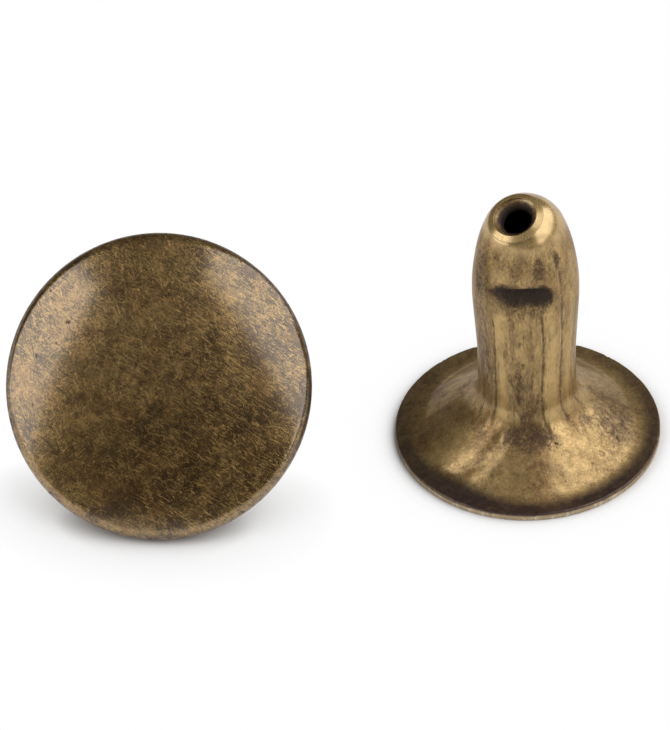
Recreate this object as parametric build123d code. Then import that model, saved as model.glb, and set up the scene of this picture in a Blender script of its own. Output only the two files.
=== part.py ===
from build123d import *
import math
import os

# Two-part hollow rivet of sheet brass, in millimetres and degrees, +Z up.
# The post stands on its flared base, with its axis on Z and the origin in the plane of the base.
# The cap half lies to its left, face forward, on the rim of the cap and the mouth of the socket.

# Post: one drawn sheet, open below and pierced at the tip. Its height is the sum of its stretches.
post_sheet = 0.25
base_diameter = 7.8
base_land = 0.6  # width of the flat ring that the post stands on
flare_slope = 36.0  # slope of the cone above the ring
flare_bend = 1.2  # radius where the cone leaves the ring
flare_radius = 1.1  # radius where the cone turns up into the neck
neck_diameter = 2.94
neck_length = 1.33
taper_length = 2.0  # from the neck out to the bulb
taper_blend = 5.0
bulb_diameter = 3.19  # the widest part of the shank, which snaps into the socket
bulb_land = 0.35
nose_length = 3.12
tip_radius = 1.26

# Hole left at the tip by the drawing of the sheet, a little off the axis.
tip_hole = 0.87
tip_hole_tilt = 22.5  # angle between the hole's axis and the post's
tip_hole_turn = 226.0  # side to which the hole has wandered, from +X
tip_lip = 0.08

# Notches, pressed into the foot of the nose by straight wedges from opposite sides.
notch_count = 2
notch_depth = 0.3  # below the radius of the bulb
notch_width = 1.65
notch_height = 0.66  # from the apex down to the radius of the bulb
notch_overhang = 40.0  # slope of the upper face, which rises outwards
notch_above_bulb = 0.9  # from the bulb's upper end to the apex
notch_turn = 270.0  # direction of the first notch, from +X

# Cap: a shallow dome whose edge is folded over the flange of the socket.
cap_sheet = 0.25
cap_diameter = 9.0
dome_radius = 11.8
hem_width = 0.95

# Socket: a flanged tube that takes the bulb of the post.
socket_sheet = 0.25
socket_length = 2.6  # from the back of the cap to the mouth
socket_fillet = 0.5
mouth_length = 0.35
mouth_taper = 0.45  # length over which the tube narrows to the mouth

# Fits.
seam_clearance = 0.02  # play of the flange in the fold of the cap
bore_clearance = 0.06  # between the bulb and the wall of the socket, all round
snap_bite = 0.05  # how far the mouth closes in behind the bulb, all round

# Place of the cap half beside the post.
cap_x = -10.77
cap_y = -1.05
cap_turn = -6.0

base_r = base_diameter / 2
neck_r = neck_diameter / 2
bulb_r = bulb_diameter / 2
land_r = base_r - base_land
flare_corner = post_sheet + (land_r - neck_r) * math.tan(math.radians(flare_slope))
neck_bottom = flare_corner + flare_radius * math.tan(math.radians(90 - flare_slope) / 2)
neck_top = neck_bottom + neck_length
bulb_bottom = neck_top + taper_length
bulb_top = bulb_bottom + bulb_land
post_height = bulb_top + nose_length
tip_centre = post_height - tip_radius

cap_r = cap_diameter / 2
bead_radius = (2 * cap_sheet + socket_sheet + seam_clearance) / 2
bead_r = cap_r - bead_radius
mouth_r = bulb_r - snap_bite + socket_sheet


def sheet_metal(outline, sheet, side):
    """Shell of one sheet thickness, revolved from the line of one of its faces."""
    section = make_face(offset(outline, sheet, side=side, closed=True))
    return revolve(Plane.XZ * section, Axis.Z)


def nose_arcs():
    """Long arc off the bulb and the round of the tip, tangent to each other."""
    rise = tip_centre - bulb_top
    side_radius = (bulb_r**2 + rise**2 - tip_radius**2) / (2 * (bulb_r - tip_radius))
    meeting = math.degrees(math.atan2(rise, side_radius - bulb_r))
    flank = CenterArc((bulb_r - side_radius, bulb_top), side_radius, 0, meeting)
    tip = CenterArc((0, tip_centre), tip_radius, meeting, 90 - meeting)
    return [flank, tip]


def post_outline():
    """Outer face of the post, from the rim of the base to the middle of the tip."""
    shank = FilletPolyline(
        (base_r, post_sheet),
        (land_r, post_sheet),
        (neck_r, flare_corner),
        (neck_r, neck_top),
        (bulb_r, bulb_bottom),
        (bulb_r, bulb_top),
        radius=[flare_bend, flare_radius, taper_blend, taper_blend],
    )
    return Wire([*shank.edges(), *nose_arcs()])


def wedge(turn, backing):
    """Straight wedge that presses one notch, thickened on its point by the backing."""
    apex_r = bulb_r - notch_depth
    apex_z = bulb_top + notch_above_bulb
    reach = 2 * notch_depth
    rise = reach * math.tan(math.radians(notch_overhang))
    fall = reach * notch_height / notch_depth
    profile = Polyline(
        (apex_r, apex_z),
        (apex_r + reach, apex_z + rise),
        (apex_r + reach, apex_z - fall),
        close=True,
    )
    section = make_face(profile)
    if backing:
        section = offset(section, backing)
    blade = extrude(Plane.XZ * section, notch_width / 2 + backing, both=True)
    return Rot(Z=turn) * blade


def make_post():
    """Shell pierced at the tip, with a round lip, and notched."""
    outline = post_outline()
    shell = sheet_metal(outline, post_sheet, Side.LEFT)
    closing = Polyline((0, post_height), (0, 0), (base_r, 0), (base_r, post_sheet))
    hollow = revolve(Plane.XZ * make_face(Wire([*outline.edges(), *closing.edges()])), Axis.Z) - shell
    for number in range(notch_count):
        turn = notch_turn + number * 360 / notch_count
        shell += wedge(turn, post_sheet) & hollow
        shell -= wedge(turn, 0)
    tip = Pos(Z=tip_centre) * Rot(Z=tip_hole_turn) * Rot(Y=tip_hole_tilt) * Pos(Z=tip_radius)
    shell -= tip * Cylinder(tip_hole / 2, 4 * post_sheet)
    outer_edge = shell.edges().sort_by_distance(tip.position)[0]
    return fillet(outer_edge, tip_lip)


def make_cap():
    """Dome, bead and hem in one line, with the fold just wide enough for the flange."""
    edge_slope = math.asin(bead_r / (dome_radius - bead_radius))
    dome_centre = bead_radius - (dome_radius - bead_radius) * math.cos(edge_slope)
    slope = math.degrees(edge_slope)
    dome = CenterArc((0, dome_centre), dome_radius, 90, -slope)
    bead = CenterArc((bead_r, bead_radius), bead_radius, 90 - slope, slope - 180)
    hem = Line((bead_r, 0), (cap_r - hem_width, 0))
    return sheet_metal(Wire([dome, bead, hem]), cap_sheet, Side.RIGHT)


def make_socket():
    """Flange that lies on the hem, and the tube down to a mouth that grips behind the bulb."""
    tube_r = bulb_r + bore_clearance + socket_sheet
    outline = FilletPolyline(
        (bead_r, cap_sheet),
        (tube_r, cap_sheet),
        (tube_r, mouth_length + mouth_taper - socket_length),
        (mouth_r, mouth_length - socket_length),
        (mouth_r, -socket_length),
        radius=[socket_fillet, 2 * socket_sheet, 2 * socket_sheet],
    )
    return sheet_metal(outline, socket_sheet, Side.RIGHT)


def cap_half_place():
    """Lean and lift that set the bead of the cap and the mouth of the socket on the ground."""
    across = bead_r - mouth_r
    along = socket_length + bead_radius
    lean = math.atan2(along, across) - math.asin(bead_radius / math.hypot(across, along))
    lift = bead_r * math.sin(lean) + bead_radius * (1 - math.cos(lean))
    return Pos(cap_x, cap_y, lift) * Rot(Z=cap_turn) * Rot(X=math.degrees(lean))


cap_half = cap_half_place()
pieces = {
    "post": make_post(),
    "cap": cap_half * make_cap(),
    "socket": cap_half * make_socket(),
}
os.makedirs("parts", exist_ok=True)
for node, solid in pieces.items():
    export_step(solid, f"parts/{node}.step")
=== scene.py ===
import math
import bpy
import numpy as np
from mathutils import Matrix, Quaternion, Vector


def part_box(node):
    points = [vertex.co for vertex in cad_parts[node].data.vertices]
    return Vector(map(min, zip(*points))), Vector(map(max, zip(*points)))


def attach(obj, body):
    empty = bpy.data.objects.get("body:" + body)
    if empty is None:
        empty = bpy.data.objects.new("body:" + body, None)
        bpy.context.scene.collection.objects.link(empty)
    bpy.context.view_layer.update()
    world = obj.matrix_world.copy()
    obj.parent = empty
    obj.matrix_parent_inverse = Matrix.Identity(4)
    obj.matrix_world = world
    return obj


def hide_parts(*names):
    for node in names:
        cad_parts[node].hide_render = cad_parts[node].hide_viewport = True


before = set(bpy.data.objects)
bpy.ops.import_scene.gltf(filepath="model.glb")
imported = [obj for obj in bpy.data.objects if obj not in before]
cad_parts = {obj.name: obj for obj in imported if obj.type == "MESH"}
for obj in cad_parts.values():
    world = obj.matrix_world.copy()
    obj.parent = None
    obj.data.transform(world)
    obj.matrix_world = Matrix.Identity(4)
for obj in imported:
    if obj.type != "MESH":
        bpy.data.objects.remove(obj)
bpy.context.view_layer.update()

# Shapes are worked out in millimetres and go into the meshes in metres.
mm = 0.001
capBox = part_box("cap")
scene = bpy.context.scene


# Helpers for shapes

cornerPoints = 33  # on the arc of each rounded corner
walkSamples = 6000  # along a line, before its own points are picked
samePoint = 1e-6  # two points nearer than this count as one


def smooth(values, start, end):
    # cubic step: 0 before start, 1 after end, with level ends
    t = np.clip((values - start) / (end - start), 0, 1)
    return t * t * (3 - 2 * t)


def bump(values, middle, width):
    # bell curve of height 1
    return np.exp(-((values - middle) / width) ** 2)


def rounded(corners, radii):
    # straight runs through the corners, where each inner corner becomes the arc of its own radius
    # that touches both runs
    corners = np.array(corners, float)
    line = [corners[:1]]
    for before, corner, after, radius in zip(corners, corners[1:], corners[2:], radii):
        back = (before - corner) / np.linalg.norm(before - corner)
        ahead = (after - corner) / np.linalg.norm(after - corner)
        half = math.acos(float(back @ ahead)) / 2
        turn = math.pi - 2 * half
        middle = back + ahead
        centre = corner + middle / np.linalg.norm(middle) * radius / math.sin(half)
        start = corner + back * radius / math.tan(half) - centre
        end = corner + ahead * radius / math.tan(half) - centre
        t = np.linspace(0, 1, cornerPoints)[:, None]
        line.append(centre + (np.sin((1 - t) * turn) * start + np.sin(t * turn) * end) / math.sin(turn))
    line.append(corners[-1:])
    return np.concatenate(line)


def arc(centre, radius, first, last, count=64):
    # points on a circle between two angles in degrees, measured from the r axis
    angle = np.radians(np.linspace(first, last, count))
    return np.stack([centre[0] + radius * np.cos(angle), centre[1] + radius * np.sin(angle)], -1)


def lengthAlong(line):
    # distance of each point from the first one, measured along the line
    return np.concatenate([[0], np.cumsum(np.linalg.norm(np.diff(line, axis=0), axis=1))])


def pointsAt(places, known, line):
    # points between those of a line, whose places are known
    return np.stack([np.interp(places, known, line[:, 0]), np.interp(places, known, line[:, 1])], -1)


def walk(line, spacing):
    # the same line at new points; spacing is their step, or a function that gives the step from r and z
    apart = np.linalg.norm(np.diff(line, axis=0), axis=1) > samePoint
    line = line[np.concatenate([[True], apart])]
    along = lengthAlong(line)
    fine = np.linspace(0, along[-1], walkSamples)
    dense = pointsAt(fine, along, line)
    step = spacing(dense[1:, 0], dense[1:, 1]) if callable(spacing) else spacing
    steps = np.concatenate([[0], np.cumsum(np.diff(fine) / step)])
    return pointsAt(np.linspace(0, steps[-1], math.ceil(steps[-1]) + 1), steps, dense)


def sideOf(line):
    # unit normal on the right of the walking direction
    step = np.gradient(line, axis=0)
    step /= np.linalg.norm(step, axis=1)[:, None]
    return np.stack([step[:, 1], -step[:, 0]], -1)


def azimuthsOf(count):
    # one row of directions round Z, in radians
    return np.linspace(0, 2 * math.pi, count, endpoint=False)[None]


def ringsOf(section, azimuth):
    # each (r, z) of the section turned about Z
    r = section[:, :1]
    z = section[:, 1:2]
    return np.stack([r * np.cos(azimuth), r * np.sin(azimuth), z + 0 * azimuth], -1)


def ringMesh(name, rings, marks, poles=False):
    # rings joined by quads; the section closes on itself, or at two poles on the axis. marks are values for
    # each point, which the materials read
    count, around = rings.shape[:2]
    index = np.arange(count * around).reshape(count, around)
    points = rings.reshape(-1, 3)
    marks = {key: np.broadcast_to(value, (count, around) + value.shape[2:]).reshape(count * around, -1)
             for key, value in marks.items()}
    if poles:
        here = index[:-1]
        there = index[1:]
        points = np.concatenate([points, rings[0].mean(0)[None], rings[-1].mean(0)[None]])
        ends = np.array([index[0, 0], index[-1, 0]])
        marks = {key: np.concatenate([value, value[ends]]) for key, value in marks.items()}
        first = np.full(around, count * around)
        last = first + 1
        fans = [np.stack([first, np.roll(index[0], -1), index[0]], -1),
                np.stack([last, index[-1], np.roll(index[-1], -1)], -1)]
        triangles = np.concatenate(fans)
    else:
        here = index
        there = np.roll(index, -1, 0)
        triangles = np.zeros((0, 3), int)
    quads = np.stack([here, np.roll(here, -1, 1), np.roll(there, -1, 1), there], -1).reshape(-1, 4)
    # six times the volume, which is below 0 where the faces point inwards
    a, b, c, d = (points[quads[:, k]] for k in range(4))
    volume = (np.cross(a, b) * c + np.cross(a, c) * d).sum()
    if volume < 0:
        quads = quads[:, ::-1]
        triangles = triangles[:, ::-1]
    mesh = bpy.data.meshes.new(name)
    mesh.from_pydata((points * mm).tolist(), [], quads.tolist() + triangles.tolist())
    mesh.polygons.foreach_set("use_smooth", np.ones(len(mesh.polygons), bool))
    for key, value in marks.items():
        if value.shape[1] == 3:
            mesh.attributes.new(key, "FLOAT_VECTOR", "POINT").data.foreach_set("vector", value.ravel())
        else:
            mesh.attributes.new(key, "FLOAT", "POINT").data.foreach_set("value", value.ravel())
    mesh.validate()
    piece = bpy.data.objects.new(name, mesh)
    scene.collection.objects.link(piece)
    print("made", name, len(quads) * 2 + len(triangles), "triangles")
    return piece


# Camera

camera = {
    "aim": (-5.63, 1.41, 1.598),  # mm from the middle of the post's base
    "elevation": 41.42,
    "roll": 1.48,
    "distance": 500,  # mm
    "lens": 836.9,
    "sensor": 36,
    "clipEnd": 50,  # m
}


def addCamera():
    # looks along +Y and down by its elevation, rolled about its own axis
    elevation = math.radians(camera["elevation"])
    back = Vector((0, -math.cos(elevation), math.sin(elevation)))
    across = Vector((1, 0, 0))
    up = back.cross(across)
    roll = Matrix.Rotation(-math.radians(camera["roll"]), 3, "Z")
    turned = Matrix((across, up, back)).transposed() @ roll
    eye = (Vector(camera["aim"]) + back * camera["distance"]) * mm
    data = bpy.data.cameras.new("camera")
    data.lens = camera["lens"]
    data.sensor_width = camera["sensor"]
    data.sensor_fit = "AUTO"
    data.clip_end = camera["clipEnd"]
    seen = bpy.data.objects.new("camera", data)
    seen.matrix_world = Matrix.Translation(eye) @ turned.to_4x4()
    scene.collection.objects.link(seen)
    scene.camera = seen
    print("camera placed")


addCamera()


# Post: one sheet drawn up from a flat ring, over a cone, into a shank with a round nose

post = {
    "sheet": 0.25,
    "baseRadius": 3.898,
    "baseLand": 0.6,
    "rimRound": 0.04,
    "flareSlope": 36,
    "flareBend": 1.2,
    "flareRadius": 1.1,
    "neckRadius": 1.47,
    "neckLength": 1.33,
    "taperLength": 2.0,
    "taperBlend": 5,
    "bulbRadius": 1.595,
    "bulbLand": 0.35,
    "noseLength": 3.12,
    "tipRadius": 1.26,
    "holeRadius": 0.435,
    "holeTilt": 22.5,
    "holeTurn": 226,
    "squareFrom": 42,  # degrees from the axis, inside which the tip is square to its hole
    "lipReach": 0.21,
    "lipDrop": 0.12,  # how far the wall of the hole hangs below the inner face
    "lipRound": (0.29, 0.03),  # at the top of the wall and at its foot
    "collar": 0.02,  # how far the tip is pressed flat round the hole
    "collarReach": (0.42, 1.02),  # from the axis: pressed fully, and not at all
    "collarLeast": 0.3,  # its share on the side away from the hole's tilt
    "tipFade": 0.9,  # lines and flats fade over this length before the lip
    "around": 280,
    "step": 0.055,
    "lipStep": 0.02,
    "rimStep": 0.016,
    "innerEvery": 3,  # the inner face has one ring for this many outside
}
notch = {
    "depth": 0.3,
    "halfWidth": 0.825,
    "height": 0.66,
    "overhang": 40,
    "aboveBulb": 0.9,
    "ends": 0.2,
    "soft": 0.04,  # rounding where the wedge meets the nose
    "step": 0.026,  # finer rings, from just below the notch's middle this far up and down
    "fineReach": 0.6,
    "fineDrop": 0.1,
}
# zones along the outline, in mm from the upper edge of the rim: start, full, last, end
zones = {
    "edge": (-0.34, -0.26, -0.14, -0.05),
    "bends": (0.3, 0.8, 2.2, 2.7),
    "stripe": (0.3, 0.9, 2.0, 2.6),
    "flats": (2.0, 3.0, 7.6, 9.0),
}
polished = (8.9, 9.6)  # the lip is bright from here on
# flats round the shank and bends in the cone: depth, fewest and most waves round it, the least share of
# each, and how they wander along the outline
flats = {"depth": 0.011, "first": 5, "last": 21, "least": 0.3, "wander": 0.25, "speed": (0.4, 0.9)}
bends = {"depth": 0.03, "first": 2, "last": 8, "least": 0.4, "twist": 0.8}
burrs = {"height": 0.014, "waves": (23, 41, 67, 97, 133), "above": 0.6, "most": 2}
# lines drawn along the shank: side in degrees from the front, width in degrees, depth,
# start and end along the outline, darkness
drawnLines = [
    (-40, 2.4, 0.02, 2.5, 7.0, 0.58),
    (-23, 1.8, 0.006, 2.7, 6.7, 0.34),
    (5, 2.6, 0.008, 3.2, 6.6, 0.36),
    (17.5, 2.4, 0.026, 2.4, 7.1, 0.6),
    (43, 3.0, 0.03, 2.0, 8.7, 0.54),
    (66, 2.6, 0.018, 2.4, 7.6, 0.4),
    (104, 2.8, 0.02, 2.4, 7.6, 0.45),
    (139, 2.8, 0.026, 2.3, 7.3, 0.55),
    (171, 2.6, 0.012, 2.5, 7.1, 0.35),
    (205, 2.8, 0.025, 2.3, 7.4, 0.5),
    (243, 3.0, 0.02, 2.4, 7.8, 0.4),
]
lineFades = (-0.35, 0.35, -0.5, 0.3)  # round the start and the end of each line
# how they stray: degrees to and fro, how quickly, and how far they fan out over the cone
lineStray = {"swing": 1, "waves": 1.7, "fan": 0.12, "fanFrom": 2.2, "fanTo": 3.6}
# brighter strips between them: side, half width in degrees, start and end along the outline, strength
strips = [
    (30, 10, 2.3, 7.0, 1.0),
    (-31, 8, 2.6, 7.0, 1.0),
    (-8, 7, 4.4, 7.0, 0.35),
    (56, 7, 2.6, 7.4, 0.5),
    (155, 9, 2.6, 7.2, 0.6),
    (224, 11, 2.6, 7.2, 0.6),
]
stripFades = (-0.3, 0.4, -0.5, 0.4)
# dark patches: side, place along the outline, half sizes in degrees and mm, darkness
patches = [
    (16, 8.62, 9.5, 0.52, 0.58),
    (-12, 8.6, 11, 0.5, 0.42),
    (-27, 8.72, 12, 0.26, 0.34),
    (-40, 8.86, 6, 0.12, 0.5),
    (42, 8.72, 5.5, 0.36, 0.7),
    (46, 8.36, 5, 0.3, 0.38),
    (18, 8.2, 5, 0.4, 0.35),
    (-62, 8.0, 15, 1.3, 0.5),
    (-58, 5.2, 16, 2.6, 0.42),
    (-10, 4.1, 13, 1.1, 0.5),
    (5, 3.3, 16, 0.8, 0.45),
    (0, 2.42, 32, 0.5, 0.66),
    (-1, 2.85, 15, 0.5, 0.5),
    # painted shade: the dark belt below the collar
    (14, 9.44, 26, 0.12, 0.35),
    (60, 2.2, 12, 0.35, 0.4),
    (86, 1.4, 30, 0.9, 0.5),
    (58, 1.1, 14, 0.6, 0.3),
    (-60, 2.4, 14, 0.5, 0.35),
    (150, 3.0, 22, 0.8, 0.45),
    (215, 5.6, 14, 1.2, 0.4),
    (128, 8.4, 10, 0.5, 0.5),
]
patchEdge = (0.45, 1.35)  # in half sizes: the end of full darkness, and the end of the patch
# one diagonal groove in the front of the cone, by places along the outline, the ridge beside it, and
# painted shade along the groove
groove = {
    "along": [0.44, 0.82, 1.28, 1.78, 2.22, 2.72],
    "side": [-50.5, -45, -37, -31.5, -27, -26.5],
    "depth": 0.045,
    "width": 6,
    "ridge": 0.014,
    "ridgeSide": 12,
    "dark": 0.34,
    "shadeSide": -0.5,
    "shadeWidth": 4,
}
# the cone is a little browner in front of the shank, between its two bright sides
coneStripe = {"side": 4, "wide": 11, "dark": 0.3}
# dirt and painted shade in the notch: sides and places along the outline of its upper and lower edge
notchDirtAndShade = {
    "topSide": [-60, -46, -34, -24, 0, 20, 28, 34],
    "top": [7.6, 7.78, 7.94, 8.04, 7.98, 8.04, 7.9, 7.7],
    "bottomSide": [-60, -46, -34, -22, 0, 21, 28, 34],
    "bottom": [7.54, 7.54, 7.46, 7.36, 7.34, 7.34, 7.44, 7.6],
    "fades": (-0.38, 0.26, -0.16, 0.24),  # round the lower and the upper edge
    "tail": [(0.78, -66, -52), (0.22, -48, -20)],  # share, and the sides between which it comes in
    "rightEnd": (26, 40),
    "dark": 0.98,
    "fringe": 0.5,
    "fringeFades": (-0.9, -0.1, 0, 0.3),
    "fringeSides": (-50, -25, 18, 36),
    "wobble": [(0.03, 9, 0), (0.02, 21, 1)],  # of both edges: height, waves, phase
}
streak = {"squeeze": 0.45, "above": 7.2}  # the brass is drawn out along the shank, and half as much above
# painted shade inside: down the wall of the hole, in shares of the lip, and up the bore, along the outline
innerShade = {"wallFrom": 0.3, "wallTo": 0.62, "boreFrom": 7.4, "boreTo": 8.6}
# stain on the flat ring: where it is darkest, how dark it is behind, how far up it reaches, and its bulge
ringStain = {"side": 4, "least": 0.32, "reach": 0.6, "fade": 0.4}
stainBulge = {"side": -38, "wide": 26, "reach": 0.26}


def postOutline():
    # outer face: flat ring, cone, neck, taper and bulb as one rounded line, then two arcs that touch, up to
    # the lip; with it come the heights of the bulb's top and the tip's centre, and where the arcs meet
    landRadius = post["baseRadius"] - post["baseLand"]
    neck = post["neckRadius"]
    bulb = post["bulbRadius"]
    tipRadius = post["tipRadius"]
    flareCorner = post["sheet"] + (landRadius - neck) * math.tan(math.radians(post["flareSlope"]))
    neckBottom = flareCorner + post["flareRadius"] * math.tan(math.radians(90 - post["flareSlope"]) / 2)
    neckTop = neckBottom + post["neckLength"]
    bulbBottom = neckTop + post["taperLength"]
    bulbTop = bulbBottom + post["bulbLand"]
    tipCentre = bulbTop + post["noseLength"] - tipRadius
    corners = [(post["baseRadius"] - post["rimRound"], post["sheet"]), (landRadius, post["sheet"]),
               (neck, flareCorner), (neck, neckTop), (bulb, bulbBottom), (bulb, bulbTop)]
    radii = [post["flareBend"], post["flareRadius"], post["taperBlend"], post["taperBlend"]]
    rise = tipCentre - bulbTop
    sideRadius = (bulb ** 2 + rise ** 2 - tipRadius ** 2) / (2 * (bulb - tipRadius))
    meeting = math.degrees(math.atan2(rise, sideRadius - bulb))
    lipStart = 90 - math.degrees(math.asin((post["holeRadius"] + post["lipReach"]) / tipRadius))
    flank = arc((bulb - sideRadius, bulbTop), sideRadius, 0, meeting)
    tip = arc((0, tipCentre), tipRadius, meeting, lipStart)
    return np.concatenate([rounded(corners, radii), flank[1:], tip[1:]]), bulbTop, tipCentre, meeting


def postSection():
    # closed section of the sheet: rim, outer face, lip of the hole and inner face. Each point also has its
    # place along the outer face, the point and the normal there, whether it is inside (1), and its painted
    # shade
    outline, bulbTop, tipCentre, meeting = postOutline()
    apex = bulbTop + notch["aboveBulb"]

    def spacing(r, z):
        nearNotch = np.abs(z - apex + notch["fineDrop"]) < notch["fineReach"]
        return np.where(nearNotch, notch["step"], post["step"])

    outer = walk(outline, spacing)
    normal = sideOf(outer)
    along = lengthAlong(outer)
    picked = np.arange(0, len(outer), post["innerEvery"])
    inner = outer[picked] - normal[picked] * post["sheet"]
    # lip: from the nose over a round edge, down the wall of the hole and out to the inner face
    hole = post["holeRadius"]
    topCorner = (hole, tipCentre + math.sqrt(post["tipRadius"] ** 2 - hole ** 2))
    bottomCorner = (hole, inner[-1, 1] - post["lipDrop"])
    lipLine = rounded([outer[-1], topCorner, bottomCorner, inner[-1]], post["lipRound"])
    lip = walk(lipLine, post["lipStep"])[1:-1]
    rimCorners = [inner[0], (post["baseRadius"], 0), (post["baseRadius"], post["sheet"]), outer[0]]
    rim = walk(rounded(rimCorners, [post["rimRound"]] * 2), post["rimStep"])[1:-1]

    def carried(values):
        # values of the outer face, held on the rim and the lip, and repeated on the inner face
        first = np.repeat(values[:1], len(rim), 0)
        last = np.repeat(values[-1:], len(lip), 0)
        return np.concatenate([first, values, last, values[picked][::-1]])

    station = carried(along)
    station[:len(rim)] = lengthAlong(rim) - lengthAlong(rim)[-1]
    outside = np.zeros(len(rim) + len(outer))
    lipStep = np.arange(len(lip))
    within = np.concatenate([outside, smooth(lipStep, 0, len(lip) - 1), np.ones(len(inner))])
    # painted shade down the wall of the hole and up the bore
    wall = smooth(lipStep / len(lip), innerShade["wallFrom"], innerShade["wallTo"])
    bore = smooth(along[picked][::-1], innerShade["boreFrom"], innerShade["boreTo"])
    section = {
        "points": np.concatenate([rim, outer, lip, inner[::-1]]),
        "partner": carried(outer),
        "normal": carried(normal),
        "station": station[:, None],
        "within": within[:, None],
        "dirt": np.concatenate([outside, wall, bore])[:, None],
    }
    return section, bulbTop, tipCentre, meeting


def pressNotch(points, bulbTop, side):
    # points in front of the two planes of a wedge go back to them, and the wedge fades at its ends
    height = points[..., 2] - bulbTop
    depth = side * points[..., 1]
    above = (height - notch["aboveBulb"]) / math.tan(math.radians(notch["overhang"]))
    below = (notch["aboveBulb"] - height) * notch["depth"] / notch["height"]
    wedge = post["bulbRadius"] - notch["depth"] + np.maximum(above, below)
    excess = (depth - wedge) / notch["soft"]
    push = np.where(excess > -4, notch["soft"] * np.logaddexp(0, excess), 0)  # rounded where they meet
    halfWidth = notch["halfWidth"]
    return push * (1 - smooth(np.abs(points[..., 0]), halfWidth - notch["ends"], halfWidth + notch["ends"]))


def angleFrom(side, middle):
    # difference of two directions, within half a turn
    return (side - middle + 180) % 360 - 180


def zone(values, start, full, last, end):
    # 0 before start, 1 from full to last, 0 after end
    return smooth(values, start, full) * (1 - smooth(values, last, end))


def faded(values, start, end, fades):
    # a zone from start to end, with these fades round the two
    return zone(values, start + fades[0], start + fades[1], end + fades[2], end + fades[3])


def rolling(side, waves, phase):
    # one of the waves round the piece, from 0 to 1
    return (1 + np.cos(waves * np.radians(side) + phase)) / 2


def postMarks(along, side):
    # how dark each place is, from dirt and from painted shade, and push: how far the sheet stands back from
    # the smooth form, in mm
    grime_and_shade = np.zeros_like(side + along)
    push = np.zeros_like(grime_and_shade)
    fan = lineStray["fan"] * (1 - smooth(along, lineStray["fanFrom"], lineStray["fanTo"]))
    for middle, width, depth, start, end, dark in drawnLines:
        drift = lineStray["swing"] * np.sin(along * lineStray["waves"] + middle)
        if abs(middle) < 90:
            drift = drift + fan * middle
        across = angleFrom(side, middle + drift)
        shown = faded(along, start, end, lineFades)
        push += depth * shown * bump(across, 0, width)
        grime_and_shade = np.maximum(grime_and_shade, dark * shown * bump(across, 0, width * 0.8))
    for middle, place, wide, tall, dark in patches:
        far = np.hypot(angleFrom(side, middle) / wide, (along - place) / tall)
        grime_and_shade = np.maximum(grime_and_shade, dark * (1 - smooth(far, *patchEdge)))
    # flats: a sum of waves round the shank that fades on the cone and at the nose
    random = np.random.default_rng(11)
    shank = zone(along, *zones["flats"])
    for waves in range(flats["first"], flats["last"] + 1):
        phase = random.uniform(0, 2 * math.pi)
        phase = phase + flats["wander"] * np.sin(along * random.uniform(*flats["speed"]))
        share = flats["depth"] * flats["first"] / waves * random.uniform(flats["least"], 1)
        push += share * shank * rolling(side, waves, phase)
    # bends in the cone: the groove with its ridge and its painted shade, and slow waves all round
    cone = zone(along, *zones["bends"])
    across = angleFrom(side, np.interp(along, groove["along"], groove["side"]))
    dip = groove["depth"] * bump(across, 0, groove["width"])
    ridge = groove["ridge"] * bump(across, groove["ridgeSide"], groove["width"])
    # painted shade along one side of the groove
    dark = groove["dark"] * bump(across, groove["shadeSide"], groove["shadeWidth"])
    push += cone * (dip - ridge)
    grime_and_shade = np.maximum(grime_and_shade, cone * dark)
    stripe = bump(angleFrom(side, coneStripe["side"]), 0, coneStripe["wide"])
    grime_and_shade = np.maximum(grime_and_shade, coneStripe["dark"] * stripe * zone(along, *zones["stripe"]))
    for waves in range(bends["first"], bends["last"] + 1):
        phase = random.uniform(0, 2 * math.pi) + bends["twist"] * along
        share = bends["depth"] / waves * random.uniform(bends["least"], 1)
        push += share * cone * rolling(side, waves, phase)
    return grime_and_shade, push


def notchDirtAndShadeLevel(station, across):
    # dirt and painted shade between the two edges, which close to a tail on the left, with a paler fringe
    # below
    look = notchDirtAndShade
    turn = np.radians(across)
    wobble = sum(size * np.sin(turn * waves + phase) for size, waves, phase in look["wobble"])
    top = np.interp(across, look["topSide"], look["top"]) + wobble
    bottom = np.interp(across, look["bottomSide"], look["bottom"]) + wobble
    tail = sum(share * smooth(across, start, full) for share, start, full in look["tail"])
    level = faded(station, bottom, top, look["fades"]) * tail * (1 - smooth(across, *look["rightEnd"]))
    fringe = faded(station, bottom, top, look["fringeFades"]) * zone(across, *look["fringeSides"])
    return np.maximum(look["dark"] * level, look["fringe"] * fringe)


def rimBurrs(azimuth):
    # small burrs: the highest crests of a sum of close waves
    random = np.random.default_rng(5)
    ragged = np.zeros_like(azimuth)
    for waves in burrs["waves"]:
        ragged += random.uniform(0.5, 1) * np.cos(waves * azimuth + random.uniform(0, 6.28))
    return burrs["height"] * np.clip(ragged - burrs["above"], 0, burrs["most"])


def leanTip(rings, section, tipCentre, meeting):
    # rings of the tip turn about its centre, further the higher they are, until they lie square to the hole
    r = section[:, 0]
    z = section[:, 1]
    nose = 90 - meeting
    polar = 90 - np.degrees(np.arctan2(z - tipCentre, r))
    share = np.clip((nose - polar) / (nose - post["squareFrom"]), 0, 1) * (z > tipCentre)
    tilt = np.radians(post["holeTilt"]) * share[:, None]
    turn = math.radians(post["holeTurn"])
    way = np.array([math.cos(turn), math.sin(turn)])
    forward = rings[..., 0] * way[0] + rings[..., 1] * way[1]
    rise = rings[..., 2] - tipCentre
    moved = forward * np.cos(tilt) + rise * np.sin(tilt) - forward
    raised = rise * np.cos(tilt) - forward * np.sin(tilt) - rise
    return rings + np.stack([moved * way[0], moved * way[1], raised], -1)


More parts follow.
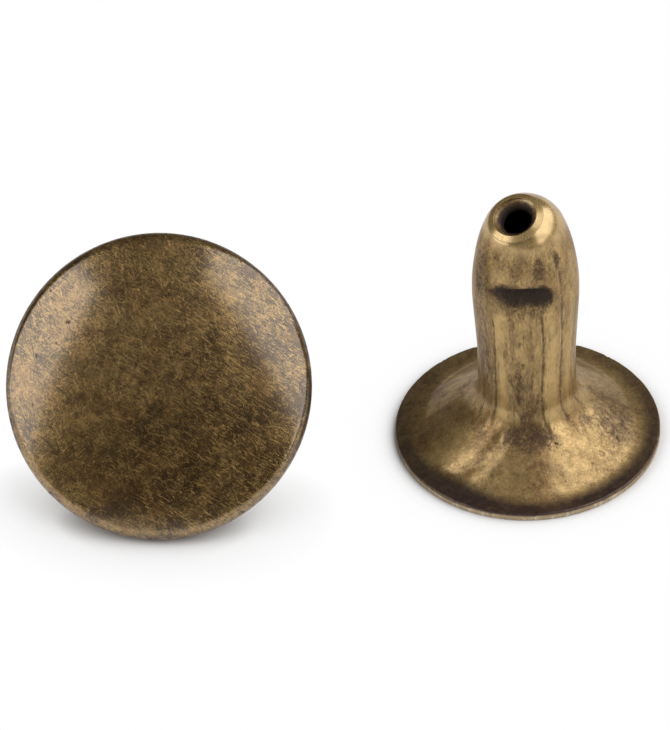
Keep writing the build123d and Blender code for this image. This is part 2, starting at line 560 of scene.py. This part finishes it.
def makePost():
    section, bulbTop, tipCentre, meeting = postSection()
    points = section["points"]
    station = section["station"]
    within = section["within"]
    azimuth = azimuthsOf(post["around"])
    side = np.degrees(azimuth) + 90
    rings = ringsOf(points, azimuth)
    outward = ringsOf(section["normal"], azimuth)
    # drawn lines, flats and bends, which leave the lip as it is
    grime_and_shade, push = postMarks(station, side)
    tipStation = station.max()
    push = push * (1 - smooth(station, tipStation - post["tipFade"], tipStation))
    rings = rings - outward * push[..., None]
    # collar: the tip is pressed flatter round the hole, most where the hole has wandered
    pressed = (points[:, 1:] > tipCentre) * (within < 1) * (1 - smooth(points[:, :1], *post["collarReach"]))
    facing = (1 + np.cos(azimuth - math.radians(post["holeTurn"]))) / 2
    collar = -post["collar"] * pressed * (post["collarLeast"] + (1 - post["collarLeast"]) * facing)
    rings = rings + outward * collar[..., None]
    guide = ringsOf(section["partner"], azimuth)
    for way in (-1, 1):
        rings[..., 1] -= way * pressNotch(guide, bulbTop, way)
    # burrs on the upper edge of the rim
    upperEdge = (station < 0.08) * (points[:, 1:] > post["sheet"] / 2) * (within < 1)
    rings[..., 2] -= rimBurrs(azimuth) * upperEdge
    rings = leanTip(rings, points, tipCentre, meeting)
    # dirt and painted shade in the two notches, then painted shade down the hole and up the bore
    for middle, flip in ((0, 1), (180, -1)):
        grime_and_shade = np.maximum(grime_and_shade, notchDirtAndShadeLevel(station, flip * angleFrom(side, middle)))
    grime_and_shade = np.maximum(grime_and_shade * (1 - within), section["dirt"])
    # the flat ring is stained dark, most in front and at the left, and its edge is freshly cut
    frontal = (1 + np.cos(np.radians(side - ringStain["side"]))) / 2
    frontal = ringStain["least"] + (1 - ringStain["least"]) * frontal
    bulge = bump(angleFrom(side, stainBulge["side"]), 0, stainBulge["wide"])
    reach = ringStain["reach"] + stainBulge["reach"] * bulge
    edge = zone(station, *zones["edge"]) * (1 - within)
    stain = (1 - smooth(station, reach - ringStain["fade"], reach)) * (1 - within) * frontal * (1 - edge)
    # strips rubbed bright
    light = np.zeros_like(grime_and_shade)
    for middle, wide, start, end, strength in strips:
        strip = bump(angleFrom(side, middle), 0, wide) * faded(station, start, end, stripFades)
        light = np.maximum(light, strength * strip)
    # the place that the brass reads: round the shank without its marks, and squeezed along it
    place = ringsOf(points, azimuth)
    place[..., 2] = streak["squeeze"] * (station + np.maximum(station - streak["above"], 0))
    marks = {
        "grime_and_shade": grime_and_shade,
        "stain": stain,
        "edge": edge,
        "inside": within,
        "polish": smooth(station, *polished) * (1 - within),
        "light": light * (1 - within),
        "streak": place,
    }
    return ringMesh("postShell", rings, marks)


# Cap half: a shallow dome crimped over the flange of its socket, leaning on its edge

cap = {
    "sheet": 0.25,
    "radius": 4.498,
    "domeRadius": 11.8,
    "hemWidth": 0.95,
    "hemRound": 0.05,
    "seam": 0.02,
    "turn": -6,
    "fineRim": 0.1,  # the finer rings of the bead start this far inside its middle
    "around": 288,
    "step": 0.06,
    "beadStep": 0.03,
    "shadeFrom": 0.16,  # the bead is darkened with painted shade from this far inside its outline
    "shadeTo": 0.04,
    # how dark the painted shade on the bead is
    "dirt": 0.62,
    "lessShadedSide": (-3.2, -1, 0.5),  # up to where its lower side gets less of the painted shade, where that ends, how much
}
socket = {
    "sheet": 0.25,
    "length": 2.6,
    "fillet": 0.5,
    "boreClearance": 0.06,
    "snapBite": 0.05,
    "mouthLength": 0.35,
    "mouthTaper": 0.45,
    "mouthRound": 0.08,
    "around": 160,
    "step": 0.04,
    "mouthStep": 0.02,
}
beadRadius = (2 * cap["sheet"] + socket["sheet"] + cap["seam"]) / 2
beadRing = cap["radius"] - beadRadius
mouthRadius = post["bulbRadius"] - socket["snapBite"] + socket["sheet"]


def restingLean():
    # angle at which the bead and the mouth of the socket both touch the ground
    across = beadRing - mouthRadius
    along = socket["length"] + beadRadius
    return math.atan2(along, across) - math.asin(beadRadius / math.hypot(across, along))


def leaned(points):
    # turned about X by the lean, then about Z
    lean = restingLean()
    turn = math.radians(cap["turn"])
    x = points[..., 0]
    y = points[..., 1] * math.cos(lean) - points[..., 2] * math.sin(lean)
    z = points[..., 1] * math.sin(lean) + points[..., 2] * math.cos(lean)
    turnedX = x * math.cos(turn) - y * math.sin(turn)
    turnedY = x * math.sin(turn) + y * math.cos(turn)
    return np.stack([turnedX, turnedY, z], -1)


def capShift(rings):
    # shift that brings the cap to the middle of its box in the frame
    flat = rings.reshape(-1, 3)
    return (np.array(capBox[0]) + np.array(capBox[1])) / 2 / mm - (flat.min(0) + flat.max(0)) / 2


def makeCap():
    # dome, bead and hem as one line, doubled by the sheet
    domeRun = cap["domeRadius"] - beadRadius
    slope = math.degrees(math.asin(beadRing / domeRun))
    domeCentre = beadRadius - domeRun * math.cos(math.radians(slope))
    dome = arc((0, domeCentre), cap["domeRadius"], 90, 90 - slope, 200)
    bead = arc((beadRing, beadRadius), beadRadius, 90 - slope, -90, 90)
    hemEnd = cap["radius"] - cap["hemWidth"]

    def spacing(r, z):
        return np.where(r > beadRing - cap["fineRim"], cap["beadStep"], cap["step"])

    outer = walk(np.concatenate([dome, bead[1:], [(hemEnd + cap["hemRound"], 0)]]), spacing)
    inner = outer + sideOf(outer) * cap["sheet"]
    hem = rounded([outer[-1], (hemEnd, 0), (hemEnd, cap["sheet"]), inner[-1]], [cap["hemRound"]] * 2)
    edge = walk(hem, cap["beadStep"])[1:-1]
    section = np.concatenate([outer[1:], edge, inner[:0:-1]])
    local = ringsOf(section, azimuthsOf(cap["around"]))
    rings = leaned(local)
    shift = capShift(rings)
    # painted shade: the turn of the bead is darkened, least along its lower side
    reach = np.hypot(local[..., 0], local[..., 1])
    lessShadedUpTo, lessShadedEnd, lessShaded = cap["lessShadedSide"]
    lower = 1 - smooth(local[..., 1], lessShadedUpTo, lessShadedEnd)
    beadShade = smooth(reach, cap["radius"] - cap["shadeFrom"], cap["radius"] - cap["shadeTo"])
    grime_and_shade = cap["dirt"] * beadShade * (1 - lessShaded * lower)
    return ringMesh("capShell", rings + shift, {"face": local, "grime_and_shade": grime_and_shade}, poles=True), shift


def makeSocket(shift):
    # flange, fillet and tube as one rounded line to the mouth, doubled by the sheet on its inner side
    tube = post["bulbRadius"] + socket["boreClearance"] + socket["sheet"]
    taperTop = socket["mouthLength"] + socket["mouthTaper"] - socket["length"]
    corners = [(beadRing, cap["sheet"]), (tube, cap["sheet"]), (tube, taperTop),
               (mouthRadius, socket["mouthLength"] - socket["length"]),
               (mouthRadius, socket["mouthRound"] - socket["length"])]
    radii = [socket["fillet"], 2 * socket["sheet"], 2 * socket["sheet"]]
    line = walk(rounded(corners, radii), socket["step"])
    bore = line + sideOf(line) * socket["sheet"]
    foot = [(mouthRadius, -socket["length"]), (mouthRadius - socket["sheet"], -socket["length"])]
    mouth = rounded([line[-1], *foot, bore[-1]], [socket["mouthRound"]] * 2)
    section = np.concatenate([line, walk(mouth, socket["mouthStep"])[1:-1], bore[::-1]])
    local = ringsOf(section, azimuthsOf(socket["around"]))
    return ringMesh("socketShell", leaned(local) + shift, {"face": local})


postShell = makePost()
capShell, shift = makeCap()
socketShell = makeSocket(shift)

for piece, node in ((postShell, "post"), (capShell, "cap"), (socketShell, "socket")):
    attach(piece, "root")
    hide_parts(node)


# Stage: white sweep, two tall soft boxes standing at the sides, dim room

studio = {
    "room": (0.035, 0.095),  # in front, and overhead
    "rise": (0.42, 0.85),  # sines of the heights between which the room gets lighter
    "horizon": (0.03, 0.11),  # sines of the heights between which the white sweep ends
    "left": {"side": -77, "width": 240, "low": 28, "high": 560, "roll": 10, "brightness": 2.5},
    "right": {"side": 84, "width": 775, "low": 90, "high": 2300, "roll": 3, "brightness": 2.35},
    "lampCentre": (-5, 0, 3),  # mm, the point that both boxes stand round
    "lampDistance": 300,
}
paleFloor = {
    "reach": 3,  # m, half of its side
    "paper": (0.8, 0.8, 0.8, 1),
    # shadows: how near the object has to be, in mm, and the openness that counts as dark and as clear
    "wide": {"distance": 2.2, "dark": 0.4, "clear": 0.995},
    "near": {"distance": 0.7, "dark": 0.4, "clear": 0.98},
    "samples": 16,
}


def feed(tree, node, inputs):
    # each input takes a socket or a plain value
    for key, value in inputs.items():
        if isinstance(value, bpy.types.NodeSocket):
            tree.links.new(value, node.inputs[key])
        else:
            node.inputs[key].default_value = value


def addNode(tree, kind, inputs=None, **settings):
    made = tree.nodes.new(kind)
    for key, value in settings.items():
        setattr(made, key, value)
    feed(tree, made, inputs or {})
    return made


def calc(tree, operation, a, b=0.0):
    return addNode(tree, "ShaderNodeMath", {0: a, 1: b}, operation=operation).outputs[0]


def product(tree, first, *others):
    for other in others:
        first = calc(tree, "MULTIPLY", first, other)
    return first


def weighed(tree, value, parts, shares):
    # a value plus each named part times its share
    for key, share in shares.items():
        value = calc(tree, "ADD", value, product(tree, parts[key], share))
    return value


def clamped(tree, value):
    return addNode(tree, "ShaderNodeClamp", {0: value}).outputs[0]


def vectorCalc(tree, operation, a, b):
    return addNode(tree, "ShaderNodeVectorMath", {0: a, 1: b}, operation=operation).outputs[0]


def combined(tree, x, y, z):
    return addNode(tree, "ShaderNodeCombineXYZ", {0: x, 1: y, 2: z}).outputs[0]


def parted(tree, vector):
    return addNode(tree, "ShaderNodeSeparateXYZ", {0: vector}).outputs


def ranged(tree, value, start, end, low=0.0, high=1.0, kind="LINEAR"):
    # a value carried from start and end to low and high, and kept between them
    inputs = {"Value": value, "From Min": start, "From Max": end, "To Min": low, "To Max": high}
    return addNode(tree, "ShaderNodeMapRange", inputs, interpolation_type=kind).outputs["Result"]


def stepped(tree, value, start, end, low=0.0, high=1.0):
    # the same with level ends
    return ranged(tree, value, start, end, low, high, "SMOOTHSTEP")


def mixed(tree, amount, a, b):
    return addNode(tree, "ShaderNodeMix", {0: amount, 6: a, 7: b}, data_type="RGBA").outputs[2]


def addWorld():
    # white near the horizon and for the camera, dim above
    world = bpy.data.worlds.new("studio")
    world.use_nodes = True
    tree = world.node_tree
    tree.nodes.clear()
    direction = addNode(tree, "ShaderNodeTexCoord").outputs["Generated"]
    height = parted(tree, direction)["Z"]
    room = stepped(tree, height, *studio["rise"], *studio["room"])
    low = stepped(tree, height, *studio["horizon"], 1.0, room)
    seen = addNode(tree, "ShaderNodeLightPath").outputs["Is Camera Ray"]
    strength = calc(tree, "MAXIMUM", low, seen)
    sky = addNode(tree, "ShaderNodeBackground", {"Color": (1, 1, 1, 1), "Strength": strength})
    addNode(tree, "ShaderNodeOutputWorld", {"Surface": sky.outputs[0]})
    scene.world = world


def addLamp(name, side, width, low, high, roll, brightness):
    # a tall box that faces the object and leans sideways by roll; its power grows with its area
    side = math.radians(side)
    away = Vector((math.sin(side), -math.cos(side), 0))
    data = bpy.data.lights.new(name, "AREA")
    data.shape = "RECTANGLE"
    data.size = width * mm
    data.size_y = (high - low) * mm
    data.energy = brightness * math.pi * data.size * data.size_y
    lamp = bpy.data.objects.new(name, data)
    middle = Vector(studio["lampCentre"]) + Vector((0, 0, (low + high) / 2))
    lamp.location = (middle + away * studio["lampDistance"]) * mm
    lamp.rotation_euler = (Quaternion(away, math.radians(roll)) @ away.to_track_quat("Z", "Y")).to_euler()
    lamp.visible_camera = False
    scene.collection.objects.link(lamp)


def openness(tree, distance, dark, clear):
    # 1 where nothing stands close over the floor
    near = {"Distance": distance * mm}
    node = addNode(tree, "ShaderNodeAmbientOcclusion", near, samples=paleFloor["samples"])
    return ranged(tree, node.outputs["AO"], dark, clear)


def addFloor():
    # plain white to the camera and in reflections, but grey paper in its shadows and for all other light
    mesh = bpy.data.meshes.new("floor")
    reach = paleFloor["reach"]
    corners = [(-reach, -reach, 0), (reach, -reach, 0), (reach, reach, 0), (-reach, reach, 0)]
    mesh.from_pydata(corners, [], [(0, 1, 2, 3)])
    floor = bpy.data.objects.new("floor", mesh)
    scene.collection.objects.link(floor)
    material = bpy.data.materials.new("paleFloor")
    material.use_nodes = True
    tree = material.node_tree
    tree.nodes.clear()
    paper = addNode(tree, "ShaderNodeBsdfDiffuse", {"Color": paleFloor["paper"]})
    glow = addNode(tree, "ShaderNodeEmission", {"Strength": 1.0})
    path = addNode(tree, "ShaderNodeLightPath")
    shown = calc(tree, "MAXIMUM", path.outputs["Is Camera Ray"], path.outputs["Is Glossy Ray"])
    clear = product(tree, openness(tree, **paleFloor["wide"]), openness(tree, **paleFloor["near"]))
    amount = product(tree, shown, clear)
    blend = addNode(tree, "ShaderNodeMixShader", {0: amount, 1: paper.outputs[0], 2: glow.outputs[0]})
    addNode(tree, "ShaderNodeOutputMaterial", {"Surface": blend.outputs[0]})
    mesh.materials.append(material)


addWorld()
for name in ("left", "right"):
    addLamp(name + "Lamp", **studio[name])
addFloor()
scene.view_settings.view_transform = "Standard"
print("stage made")


# Antique brass: clean metal, brown tarnish over it, dark dirt in the low places, and painted shade

capFinish = {
    "Clean": (0.42, 0.258, 0.087, 1),
    "Tarnished": (0.073, 0.041, 0.0125, 1),
    "Clean Metal": 0.6,
    "Tarnish Metal": 0.68,
    "Tarnish": 0.635,
    "Mottle": 1.1,
    "Smooth": 0.18,
    "Lacquer": 1.0,
}
postFinish = {
    "Clean": (0.55, 0.375, 0.155, 1),
    "Tarnished": (0.14, 0.083, 0.036, 1),
    "Clean Metal": 0.66,
    "Tarnish Metal": 0.58,
    "Tarnish": 0.47,
    "Mottle": 0.62,
    "Smooth": 0.32,
    "Lacquer": 0.15,
}
socketFinish = {
    "Clean": (0.40, 0.27, 0.11, 1),
    "Tarnished": (0.12, 0.075, 0.03, 1),
    "Clean Metal": 0.66,
    "Tarnish Metal": 0.58,
    "Tarnish": 0.6,
    "Mottle": 0.8,
    "Smooth": 0.34,
    "Lacquer": 0.3,
}
relief = {"cap": 0.006, "post": 0.006, "socket": 0.008}  # mm
lacquer = {"roughness": 0.16, "ior": 1.65}
edgeTint = (0.5, 0.42, 0.36, 1)  # colour of the metal's reflection near the outline
# colour and warm are those of thick and thin dirt, which also carry the painted shade
dirt = {
    "colour": (0.029, 0.020, 0.017, 1),
    "warm": (0.10, 0.055, 0.026, 1),
    "stain": (0.064, 0.042, 0.037, 1),
    "cut": (0.42, 0.32, 0.20, 1),
    "burr": (0.78, 0.67, 0.50, 1),
}
drifts = {"warm": (0.20, 0.098, 0.026, 1), "cool": (0.12, 0.095, 0.035, 1)}
# noises in the brass: features per mm, detail, roughness
noises = {
    "cloud": (1.1, 5.0, 0.66),
    "mottle": (5.5, 4.0, 0.66),
    "grain": (17.0, 3.0, 0.6),
    "pools": (1.5, 5.0, 0.66),
    "drift": (1.3, 3.0, 0.6),
    "burr": (5.0, 4.0, 0.7),
    "pits": (3.6, 3.0, 0.5),
}
# how much the noises and the marks add to each thing
shares = {
    "uneven": {"cloud": 1.4, "mottle": 1.15, "grain": 1.4},
    "tarnish": {"Rubbed": -1.0, "Scored": 0.5},
    "stain": {"mottle": 0.8},
    # the dirt share roughens the outline of dirt and of painted shade alike
    "dirt": {"grain": 0.6, "mottle": 0.8},
    "roughness": {"tarnish": 0.08, "grain": 0.12, "Polish": -0.04},
    "coat": {"Polish": 0.5},
    "height": {"grain": 0.6, "mottle": 0.5, "Scored": -0.6, "Rubbed": -0.25},
}
# smooth steps: their two edges, and the values below the first and above the second
steps = {
    "pools": (0.47, 0.7, 0.0, 0.36),
    "warmDrift": (0.5, 0.66, 0.0, 0.32),
    "coolDrift": (0.45, 0.25, 0.0, 0.25),
    "burrs": (0.45, 0.72, 0.0, 1.0),
    "pits": (0.63, 0.78, 0.0, 0.65),
    "thinDirtAndShade": (0.1, 0.7, 0.0, 0.75),
    "thickDirtAndShade": (0.4, 1.0, 0.0, 0.96),
    "dirtAndShadeMetal": (0.2, 0.9, 1.0, 0.3),
    "dirtAndShadeRoughness": (0.3, 0.9, 0.0, 0.35),
    "dirtAndShadeCoat": (0.2, 0.8, 1.0, 0.1),
}
unpolished = (1.0, 0.2)  # how much of the mottling is left: without polish, and with it
strandEdge = 0.13  # in noise, from nothing to a full strand


def newGroup(name, takes, gives):
    # shader node group with a socket for each label; returns its tree, input sockets and output node
    tree = bpy.data.node_groups.new(name, "ShaderNodeTree")
    for way, sockets in (("INPUT", takes), ("OUTPUT", gives)):
        for label, kind in sockets.items():
            tree.interface.new_socket(label, in_out=way, socket_type="NodeSocket" + kind)
    return tree, tree.nodes.new("NodeGroupInput").outputs, tree.nodes.new("NodeGroupOutput")


def noise(tree, vector, scale, detail=2.0, roughness=0.5):
    inputs = {"Vector": vector, "Scale": scale, "Detail": detail, "Roughness": roughness}
    return addNode(tree, "ShaderNodeTexNoise", inputs).outputs[0]


def hairlineGroup():
    # short fine strands: noise squeezed across one direction and cut at a threshold with a narrow edge
    values = dict.fromkeys(("Angle", "Along", "Across", "Cut"), "Float")
    tree, takes, gives = newGroup("hairlines", {"Place": "Vector", **values}, {"Mask": "Float"})
    turn = {"Vector": takes["Place"], "Angle": takes["Angle"]}
    turned = addNode(tree, "ShaderNodeVectorRotate", turn, rotation_type="Z_AXIS").outputs[0]
    squeeze = combined(tree, takes["Along"], takes["Across"], takes["Along"])
    value = noise(tree, vectorCalc(tree, "MULTIPLY", turned, squeeze), 1.0, 1.0)
    full = calc(tree, "ADD", takes["Cut"], strandEdge)
    feed(tree, gives, {"Mask": stepped(tree, value, takes["Cut"], full)})
    return tree


def brassGroup():
    # mottled tarnish, dirt, painted shade and stain over clean brass; the strands rub it bright
    numbers = ("Clean Metal", "Tarnish Metal", "Tarnish", "Mottle", "Smooth", "Lacquer",
               "Polish", "Rubbed", "Scored", "Grime_and_shade", "Stain", "Edge")
    inputs = {"Place": "Vector", "Clean": "Color", "Tarnished": "Color", **dict.fromkeys(numbers, "Float")}
    outputs = {"Color": "Color", **dict.fromkeys(("Metallic", "Roughness", "Coat", "Height"), "Float")}
    tree, takes, gives = newGroup("agedBrass", inputs, outputs)

    def step(value, name):
        return stepped(tree, value, *steps[name])

    maps = {key: noise(tree, takes["Place"], *look) for key, look in noises.items()}
    parts = {key: takes[key] for key in ("Rubbed", "Scored", "Polish")}
    for key in ("cloud", "mottle", "grain"):
        parts[key] = calc(tree, "SUBTRACT", maps[key], 0.5)  # goes down as well as up
    dull = ranged(tree, takes["Polish"], 0.0, 1.0, *unpolished)
    uneven = weighed(tree, step(maps["pools"], "pools"), parts, shares["uneven"])
    tarnish = calc(tree, "ADD", takes["Tarnish"], product(tree, uneven, takes["Mottle"], dull))
    tarnish = clamped(tree, weighed(tree, tarnish, parts, shares["tarnish"]))
    parts["tarnish"] = tarnish
    colour = mixed(tree, tarnish, takes["Clean"], takes["Tarnished"])
    # warm and cool drifts of the metal's own colour
    colour = mixed(tree, step(maps["drift"], "warmDrift"), colour, drifts["warm"])
    colour = mixed(tree, step(maps["drift"], "coolDrift"), colour, drifts["cool"])
    stained = product(tree, takes["Stain"], weighed(tree, 1.0, parts, shares["stain"]))
    colour = mixed(tree, clamped(tree, stained), colour, dirt["stain"])
    # freshly cut edge with brighter burrs
    cut = mixed(tree, step(maps["burr"], "burrs"), dirt["cut"], dirt["burr"])
    colour = mixed(tree, takes["Edge"], colour, cut)
    # dirt and painted shade with a ragged outline, and dirt in small pits: brown where it is thin, nearly
    # black where it is thick
    pits = product(tree, step(maps["pits"], "pits"), takes["Mottle"], dull)
    ragged = calc(tree, "ADD", weighed(tree, takes["Grime_and_shade"], parts, shares["dirt"]), pits)
    colour = mixed(tree, step(ragged, "thinDirtAndShade"), colour, dirt["warm"])
    colour = mixed(tree, step(ragged, "thickDirtAndShade"), colour, dirt["colour"])
    # dirt, and the painted shade that goes with it, is rougher and less metallic than brass, and has hardly
    # any lacquer left on it
    metal = ranged(tree, tarnish, 0.0, 1.0, takes["Clean Metal"], takes["Tarnish Metal"])
    rough = weighed(tree, takes["Smooth"], parts, shares["roughness"])
    coat = weighed(tree, takes["Lacquer"], parts, shares["coat"])
    feed(tree, gives, {
        "Color": colour,
        "Metallic": product(tree, metal, step(ragged, "dirtAndShadeMetal")),
        "Roughness": calc(tree, "ADD", rough, step(ragged, "dirtAndShadeRoughness")),
        "Coat": product(tree, coat, step(ragged, "dirtAndShadeCoat")),
        "Height": product(tree, weighed(tree, 0.0, parts, shares["height"]), dull),
    })
    return tree


hairlines = hairlineGroup()
agedBrass = brassGroup()


def attribute(tree, name, output="Fac"):
    return addNode(tree, "ShaderNodeAttribute", attribute_name=name).outputs[output]


def strands(tree, place, angle, along, across, cut):
    inputs = {"Place": place, "Angle": math.radians(angle), "Along": along, "Across": across, "Cut": cut}
    return addNode(tree, "ShaderNodeGroup", inputs, node_tree=hairlines).outputs["Mask"]


def brassMaterial(piece, finish):
    # a material whose shader reads the aged brass; the caller feeds the group's other inputs
    name = piece + "Brass"
    material = bpy.data.materials.new(name)
    material.use_nodes = True
    tree = material.node_tree
    aged = addNode(tree, "ShaderNodeGroup", finish, node_tree=agedBrass)
    height = {"Height": aged.outputs["Height"], "Strength": 1.0, "Distance": relief[piece] * mm}
    feed(tree, tree.nodes["Principled BSDF"], {
        "Base Color": aged.outputs["Color"],
        "Metallic": aged.outputs["Metallic"],
        "Roughness": aged.outputs["Roughness"],
        "Normal": addNode(tree, "ShaderNodeBump", height).outputs[0],
        "Specular Tint": edgeTint,
        "Coat Weight": aged.outputs["Coat"],
        "Coat Roughness": lacquer["roughness"],
        "Coat IOR": lacquer["ior"],
    })
    print("mixed", name)
    return material, tree, aged


# Cap and socket: hairlines worn into the lacquer, and a dome with painted shade that is darkest at its
# lower right

# directions in degrees, spread along and across, threshold, strength on the left and on the right
rubs = [
    {"angle": 30, "along": 3.4, "across": 30, "cut": 0.59, "left": 0.4, "right": 1.0},
    {"angle": 16, "along": 3.8, "across": 34, "cut": 0.61, "left": 0.7, "right": 0.7},
    {"angle": 66, "along": 4.2, "across": 30, "cut": 0.61, "left": 0.65, "right": 0.65},
    {"angle": -44, "along": 4.2, "across": 30, "cut": 0.62, "left": 0.65, "right": 0.65},
]
scores = [
    {"angle": 33, "along": 2.8, "across": 22, "cut": 0.6},
    {"angle": 75, "along": 3.0, "across": 22, "cut": 0.62},
]
capWearAndShade = {
    "shift": (-4.1, 6.2, 0.0),  # to a good part of the noise
    "denser": (-6.6, -1.6),  # the first hairlines get denser between these two places, shift included
    "fall": {"X": 0.8, "Y": -0.6},  # painted shade: the dome is painted darker in this direction
    "fallReach": (-1.5, 2.5),
    "fallTarnish": (-0.06, 0.16),
    "beadReach": (4.08, 4.3),
    "beadHeights": (-0.5, -2.5),  # from the upper part of the bead, darkened as painted shade, to its lower part, worn and lightened as a painted reflection of the floor
    "beadShadeAndWearLevels": (0.2, -0.3),
}


def capTarnishAndShade(tree):
    face = parted(tree, attribute(tree, "face", "Vector"))
    # painted shade that darkens the dome towards its lower right
    fall = weighed(tree, 0.0, face, capWearAndShade["fall"])
    fall = stepped(tree, fall, *capWearAndShade["fallReach"], *capWearAndShade["fallTarnish"])
    level = calc(tree, "ADD", capFinish["Tarnish"], fall)
    flat = combined(tree, face["X"], face["Y"], 0.0)
    reach = addNode(tree, "ShaderNodeVectorMath", {0: flat}, operation="LENGTH").outputs["Value"]
    # the bead: painted shade on its upper part, wear and a painted reflection of the floor on its lower
    # part
    bead = stepped(tree, reach, *capWearAndShade["beadReach"])
    shadeAndWear = stepped(tree, face["Y"], *capWearAndShade["beadHeights"], *capWearAndShade["beadShadeAndWearLevels"])
    return calc(tree, "ADD", level, product(tree, bead, shadeAndWear))


def rubbedHairlines(tree, place):
    # short straight strands that fall to the right, over sparser ones in other directions
    rightward = stepped(tree, parted(tree, place)["X"], *capWearAndShade["denser"])
    mask = 0.0
    for rub in rubs:
        mark = strands(tree, place, rub["angle"], rub["along"], rub["across"], rub["cut"])
        strength = ranged(tree, rightward, 0.0, 1.0, rub["left"], rub["right"])
        mask = calc(tree, "MAXIMUM", mask, product(tree, mark, strength))
    return mask


def scoredHairlines(tree, place):
    mask = 0.0
    for score in scores:
        mask = calc(tree, "MAXIMUM", mask, strands(tree, place, **score))
    return mask


def scratchedBrass(piece, finish):
    material, tree, aged = brassMaterial(piece, finish)
    # the piece's own coordinates, with z along the axis of the cap
    place = vectorCalc(tree, "ADD", attribute(tree, "face", "Vector"), capWearAndShade["shift"])
    feed(tree, aged, {
        "Place": place,
        "Rubbed": rubbedHairlines(tree, place),
        "Scored": scoredHairlines(tree, place),
    })
    return material, tree, aged


def makeCapBrass():
    material, tree, aged = scratchedBrass("cap", capFinish)
    feed(tree, aged, {"Tarnish": capTarnishAndShade(tree), "Grime_and_shade": attribute(tree, "grime_and_shade")})
    return material


# Post: everything is drawn out along the shank

# squeeze across and along, features per mm, the two edges of the step, strength
drawnOut = {
    "rubbed": {"squeeze": (9.0, 3.5), "scale": 1.6, "edges": (0.55, 0.75), "most": 0.4},
    "scored": {"squeeze": (11.0, 2.0), "scale": 1.4, "edges": (0.57, 0.78), "most": 0.8},
}
bands = {"squeeze": (1.0, 0.25), "noise": (3.2, 3.0, 0.6)}
postTarnish = {"band": 1.2, "polish": -0.4, "light": -0.4, "inside": 0.6}


def stretched(tree, place, across, along):
    return vectorCalc(tree, "MULTIPLY", place, (across, across, along))


def drawnNoise(tree, place, squeeze, scale, edges, most):
    value = noise(tree, stretched(tree, place, *squeeze), scale, 2.0)
    return stepped(tree, value, *edges, 0.0, most)


def makePostBrass():
    material, tree, aged = brassMaterial("post", postFinish)
    # across the shank in millimetres, and squeezed along it
    place = attribute(tree, "streak", "Vector")
    # long bands down the shank, strips rubbed bright, a polished lip and a dull inside
    band = noise(tree, stretched(tree, place, *bands["squeeze"]), *bands["noise"])
    parts = {key: attribute(tree, key) for key in ("polish", "light", "inside")}
    parts["band"] = calc(tree, "SUBTRACT", band, 0.5)
    feed(tree, aged, {
        "Place": place,
        "Tarnish": weighed(tree, postFinish["Tarnish"], parts, postTarnish),
        "Rubbed": drawnNoise(tree, place, **drawnOut["rubbed"]),
        "Scored": drawnNoise(tree, place, **drawnOut["scored"]),
        **{label: attribute(tree, label.lower()) for label in ("Grime_and_shade", "Stain", "Edge", "Polish")},
    })
    return material


capShell.data.materials.append(makeCapBrass())
postShell.data.materials.append(makePostBrass())
socketShell.data.materials.append(scratchedBrass("socket", socketFinish)[0])
